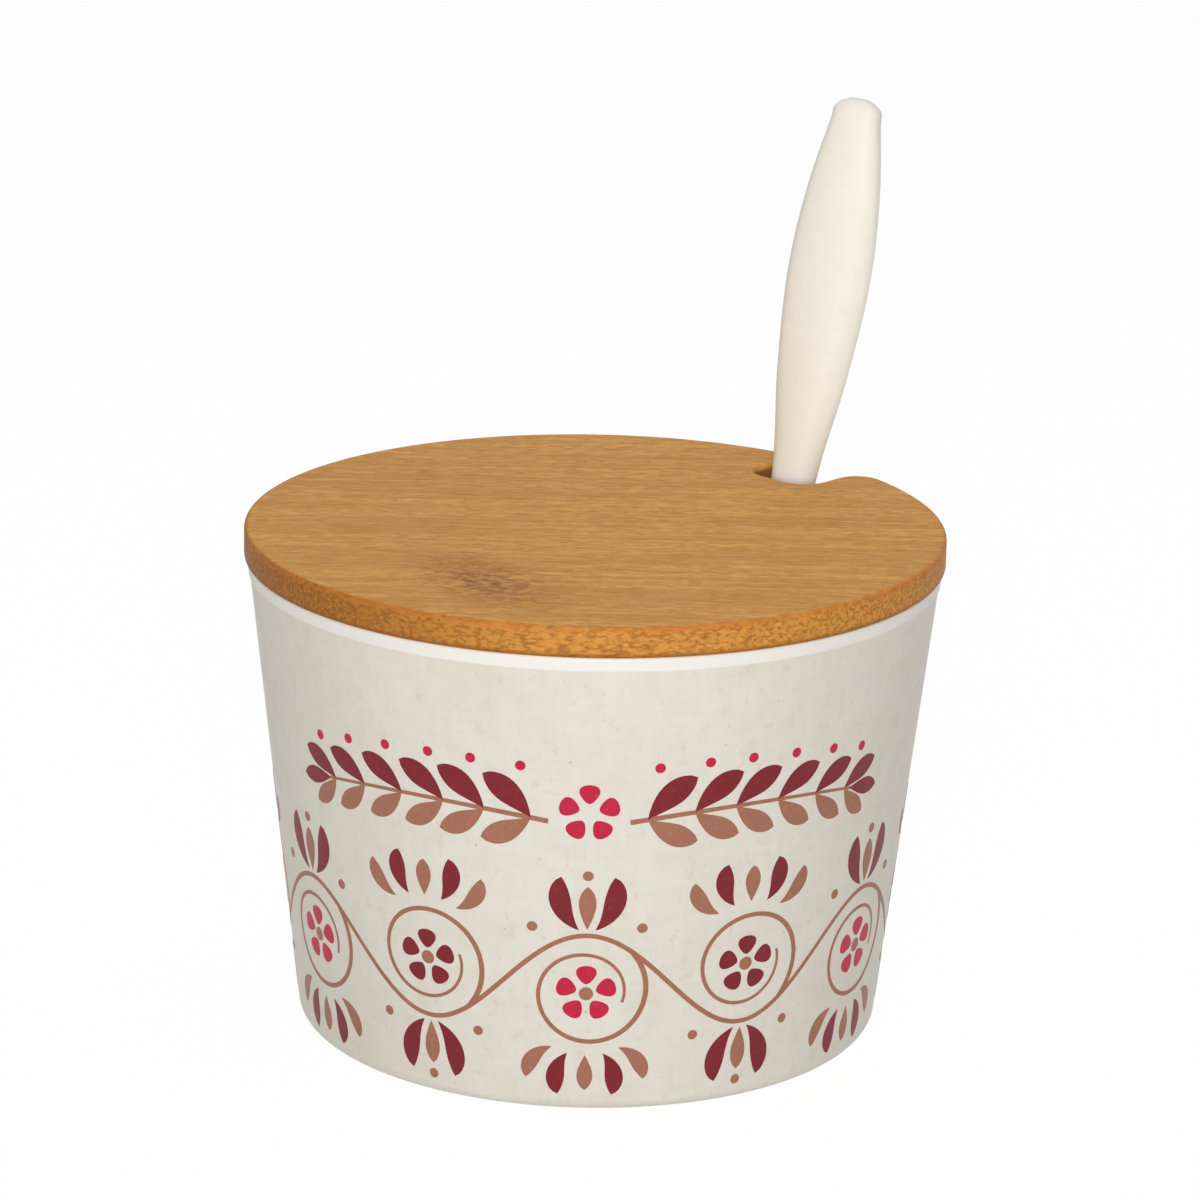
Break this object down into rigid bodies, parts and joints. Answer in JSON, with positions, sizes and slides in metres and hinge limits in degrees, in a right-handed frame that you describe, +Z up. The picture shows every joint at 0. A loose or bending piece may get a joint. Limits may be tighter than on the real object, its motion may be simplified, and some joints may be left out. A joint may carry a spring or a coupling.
{
  "type": "covered honey dish",
  "caption": "Tapered round honey dish with a flat lift-off wooden lid, and a spoon that stands in it with its handle leaning out through a notch in the lid's edge.",
  "frame": {"origin": "centre of the circle that the bowl stands on, in the plane of the table", "axes": "+Z up, +X through the notch in the lid's edge, where the spoon leans out"},
  "size_m": [0.1167, 0.11, 0.1408],
  "materials": {
    "bowl": "satin moulded bamboo fibre with fine flecks and a printed border",
    "lid": "sealed satin bamboo",
    "spoon": "satin moulded bamboo fibre"
  },
  "bodies": {
    "bowl": {"bowl": "bowl"},
    "lid": {"lid": "lid"},
    "spoon": {"spoon": "spoon"}
  },
  "joints": [
    {"name": "lid_lift", "type": "slide", "parent": "bowl", "child": "lid", "axis": [0, 0, 1], "range_m": [0, 0.085]},
    {"name": "spoon_lift", "type": "slide", "parent": "bowl", "child": "spoon", "axis": [0.2109, 0, 0.9775], "range_m": [0, 0.026]}
  ]
}
